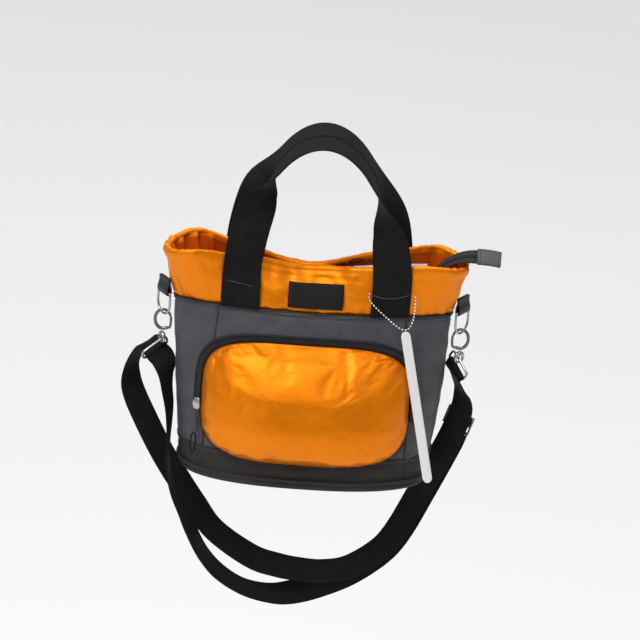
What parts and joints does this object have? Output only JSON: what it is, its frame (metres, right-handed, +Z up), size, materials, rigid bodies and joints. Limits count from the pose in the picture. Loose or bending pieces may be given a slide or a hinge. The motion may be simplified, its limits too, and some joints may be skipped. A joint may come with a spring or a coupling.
{
  "type": "small tote handbag",
  "caption": "Small two-tone nylon tote with padded collar, webbing carry handles, zipped bulging front pocket and a clip-on shoulder strap.",
  "frame": {"origin": "the grip: centre of the top of the two handles held together", "axes": "+X to the wearer's view right along the mouth of the bag, +Y from the pocket side to the back, +Z up"},
  "size_m": [0.372, 0.1491, 0.508],
  "materials": {
    "orange_satin": "soft satin sheen, bright orange nylon",
    "grey_nylon": "matt fine weave, dark grey nylon",
    "black_twill": "matt black twill",
    "black_webbing": "matt ribbed black webbing",
    "orange_lining": "thin dull orange lining",
    "white_foam": "soft foam, out of sight",
    "base_board": "stiffening board, out of sight",
    "black_leather": "smooth black leather",
    "nickel": "polished nickel plate",
    "black_coil": "black nylon coil and tape",
    "white_card": "smooth white card"
  },
  "bodies": {
    "bag": {"base_panel": "black_twill", "base_board": "base_board", "base_band": "black_twill", "base_piping": "black_twill", "front_panel": "grey_nylon", "back_panel": "grey_nylon", "side_panel_left": "grey_nylon", "side_panel_right": "grey_nylon", "lining": "orange_lining", "collar_front": "orange_satin", "collar_back": "orange_satin", "collar_padding_front": "white_foam", "collar_padding_back": "white_foam", "label_patch": "black_leather", "handle_front_end_left": "black_webbing", "handle_front_end_right": "black_webbing", "handle_back_end_left": "black_webbing", "handle_back_end_right": "black_webbing", "zip_cloth_front": "grey_nylon", "zip_cloth_back": "grey_nylon", "zip_teeth_front": "black_coil", "zip_teeth_back": "black_coil", "zip_tail": "black_coil", "zip_end_tab": "grey_nylon", "pocket_panel": "orange_satin", "pocket_zip_tape": "black_coil", "pocket_zip_teeth": "black_coil", "tab_left": "black_leather", "tab_right": "black_leather", "tag_chain": "nickel", "inner_tag": "white_card"},
    "handle_front": {"handle_front": "black_webbing"},
    "handle_back": {"handle_back": "black_webbing"},
    "main_zip_slider": {"main_zip_slider": "nickel"},
    "main_zip_pull": {"main_zip_pull": "nickel"},
    "pocket_zip_slider": {"pocket_zip_slider": "nickel"},
    "pocket_zip_pull": {"pocket_zip_pull": "nickel", "pocket_pull_cord": "black_webbing"},
    "d_ring_left": {"d_ring_left": "nickel"},
    "d_ring_right": {"d_ring_right": "nickel"},
    "strap": {"strap_outer": "black_webbing", "strap_inner": "black_webbing", "swivel_left": "nickel", "swivel_right": "nickel", "strap_loop_left": "nickel", "strap_loop_right": "nickel"},
    "claw_left": {"claw_left": "nickel"},
    "claw_right": {"claw_right": "nickel"},
    "gate_left": {"gate_left": "nickel"},
    "gate_right": {"gate_right": "nickel"},
    "strap_adjuster": {"strap_adjuster": "nickel"},
    "swing_tag": {"swing_tag": "white_card"}
  },
  "joints": [
    {"name": "handle_front_fold", "type": "hinge", "parent": "bag", "child": "handle_front", "pos_m": [0.002, -0.0345, -0.15], "axis": [1, 0, 0], "range_deg": [0, 110]},
    {"name": "handle_back_fold", "type": "hinge", "parent": "bag", "child": "handle_back", "pos_m": [0.002, 0.0345, -0.15], "axis": [-1, 0, 0], "range_deg": [0, 110]},
    {"name": "main_zip_run", "type": "slide", "parent": "bag", "child": "main_zip_slider", "axis": [1, 0, 0], "range_m": [-0.015, 0.02]},
    {"name": "main_pull_lift", "type": "hinge", "parent": "main_zip_slider", "child": "main_zip_pull", "pos_m": [0.036, 0, -0.1544], "axis": [0, -1, 0], "range_deg": [-70, 30]},
    {"name": "pocket_zip_run", "type": "slide", "parent": "bag", "child": "pocket_zip_slider", "axis": [0.0284, 0.0977, 0.9948], "range_m": [0, 0.035]},
    {"name": "pocket_pull_lift", "type": "hinge", "parent": "pocket_zip_slider", "child": "pocket_zip_pull", "pos_m": [-0.11004, -0.03791, -0.28598], "axis": [-0.8755, 0.4826, -0.0224], "range_deg": [0, 120]},
    {"name": "d_ring_left_swing", "type": "hinge", "parent": "bag", "child": "d_ring_left", "pos_m": [-0.1492, 0, -0.175], "axis": [-0.5299, 0.848, 0], "range_deg": [-1, 1]},
    {"name": "d_ring_right_swing", "type": "hinge", "parent": "bag", "child": "d_ring_right", "pos_m": [0.1492, 0, -0.175], "axis": [-0.5299, -0.848, 0], "range_deg": [-1, 1]},
    {"name": "strap_swing", "type": "hinge", "parent": "bag", "child": "strap", "pos_m": [0, 0, -0.1873], "axis": [1, 0, 0], "range_deg": [0, 4]},
    {"name": "claw_left_turn", "type": "hinge", "parent": "strap", "child": "claw_left", "pos_m": [-0.1492, 0, -0.2181], "axis": [0, 0, 1], "range_deg": [-10, 10]},
    {"name": "claw_right_turn", "type": "hinge", "parent": "strap", "child": "claw_right", "pos_m": [0.1492, 0, -0.2181], "axis": [0, 0, 1], "range_deg": [-10, 10]},
    {"name": "gate_left_press", "type": "hinge", "parent": "claw_left", "child": "gate_left", "pos_m": [-0.1413, 0, -0.2124], "axis": [0, -1, 0], "range_deg": [0, 15], "stiffness_Nm_per_rad": 0.005},
    {"name": "gate_right_press", "type": "hinge", "parent": "claw_right", "child": "gate_right", "pos_m": [0.1413, 0, -0.2124], "axis": [0, 1, 0], "range_deg": [0, 15], "stiffness_Nm_per_rad": 0.005},
    {"name": "adjuster_run", "type": "slide", "parent": "strap", "child": "strap_adjuster", "axis": [0.2691, -0.2018, 0.9417], "range_m": [0, 0.012]},
    {"name": "swing_tag_swing", "type": "hinge", "parent": "bag", "child": "swing_tag", "pos_m": [0.093, -0.038, -0.187], "axis": [0, -1, 0], "range_deg": [0, 15]}
  ]
}
